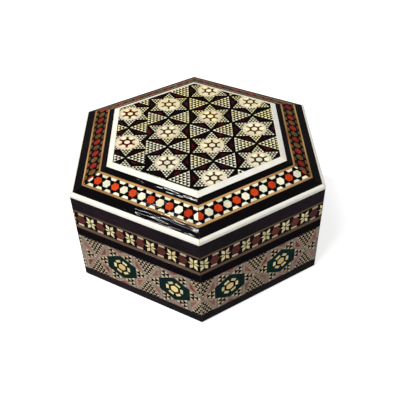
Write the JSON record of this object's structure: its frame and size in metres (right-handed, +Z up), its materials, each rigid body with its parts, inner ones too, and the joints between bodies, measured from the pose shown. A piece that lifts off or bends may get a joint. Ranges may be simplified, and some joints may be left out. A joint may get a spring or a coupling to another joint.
{
  "type": "inlaid hexagonal box",
  "caption": "Hexagonal keepsake box with a bevelled hinged lid, mitred black, white and wood facing strips, geometric star inlay, velvet lining and brass butt hinges.",
  "frame": {"origin": "centre of the underside, on the surface the box stands on", "axes": "+Z up, -Y through the front side, +Y through the hinged back side, +X through a corner"},
  "size_m": [0.1, 0.0869, 0.0464],
  "materials": {
    "hinge_brass": "polished brass",
    "velvet": "short velvet pile",
    "bone_line": "bone stringing under gloss lacquer",
    "orange_wood_line": "orange wood stringing under gloss lacquer",
    "brown_wood_line": "brown wood stringing under gloss lacquer",
    "ebony": "black wood under gloss lacquer",
    "box_inlay": "geometric inlay of wood and bone under gloss lacquer",
    "lid_band_inlay": "geometric inlay of wood and bone under gloss lacquer",
    "bevel_inlay": "geometric inlay of wood and bone under gloss lacquer",
    "star_inlay": "geometric inlay of wood and bone under gloss lacquer",
    "green_hexagons": "dyed wood under gloss lacquer",
    "bone_hexagons": "bone and dyed wood under gloss lacquer",
    "maroon_hexagons": "dyed wood under gloss lacquer",
    "orange_hexagons": "orange wood under gloss lacquer",
    "core_wood": "planed and stained wood"
  },
  "bodies": {
    "box": {"base_board": "core_wood", "box_base_border": "ebony", "box_floor_lining": "velvet", "box_inlay_back": "box_inlay", "box_inlay_back_left": "box_inlay", "box_inlay_back_right": "box_inlay", "box_inlay_front": "box_inlay", "box_inlay_front_left": "box_inlay", "box_inlay_front_right": "box_inlay", "box_star_hexagons": "green_hexagons", "box_top_border": "ebony", "box_wall_back": "core_wood", "box_wall_back_left": "core_wood", "box_wall_back_right": "core_wood", "box_wall_front": "core_wood", "box_wall_front_left": "core_wood", "box_wall_front_right": "core_wood", "box_wall_lining": "velvet", "hinge_box_leaves": "hinge_brass", "hinge_box_screws": "hinge_brass", "hinge_pins": "hinge_brass"},
    "lid": {"bevel_hexagons": "orange_hexagons", "bevel_inlay_back": "bevel_inlay", "bevel_inlay_back_left": "bevel_inlay", "bevel_inlay_back_right": "bevel_inlay", "bevel_inlay_front": "bevel_inlay", "bevel_inlay_front_left": "bevel_inlay", "bevel_inlay_front_right": "bevel_inlay", "bevel_inner_black": "ebony", "bevel_inner_wood_line": "orange_wood_line", "bevel_outer_black": "ebony", "bevel_outer_wood_line": "orange_wood_line", "hinge_lid_leaves": "hinge_brass", "hinge_lid_screws": "hinge_brass", "lid_band_hexagons": "maroon_hexagons", "lid_ceiling_lining": "velvet", "lid_frame_white_line": "bone_line", "lid_inlay_back": "lid_band_inlay", "lid_inlay_back_left": "lid_band_inlay", "lid_inlay_back_right": "lid_band_inlay", "lid_inlay_front": "lid_band_inlay", "lid_inlay_front_left": "lid_band_inlay", "lid_inlay_front_right": "lid_band_inlay", "lid_lower_line": "brown_wood_line", "lid_rim_white_line": "bone_line", "lid_side_black": "ebony", "lid_star_hexagons": "bone_hexagons", "lid_star_panel": "star_inlay", "lid_top_board": "core_wood", "lid_upper_line": "brown_wood_line", "lid_wall_back": "core_wood", "lid_wall_back_left": "core_wood", "lid_wall_back_right": "core_wood", "lid_wall_front": "core_wood", "lid_wall_front_left": "core_wood", "lid_wall_front_right": "core_wood", "lid_wall_lining": "velvet"}
  },
  "joints": [
    {"name": "lid_hinge", "type": "hinge", "parent": "box", "child": "lid", "pos_m": [0, 0.0426, 0.0249], "axis": [-1, 0, 0], "range_deg": [0, 105]}
  ]
}
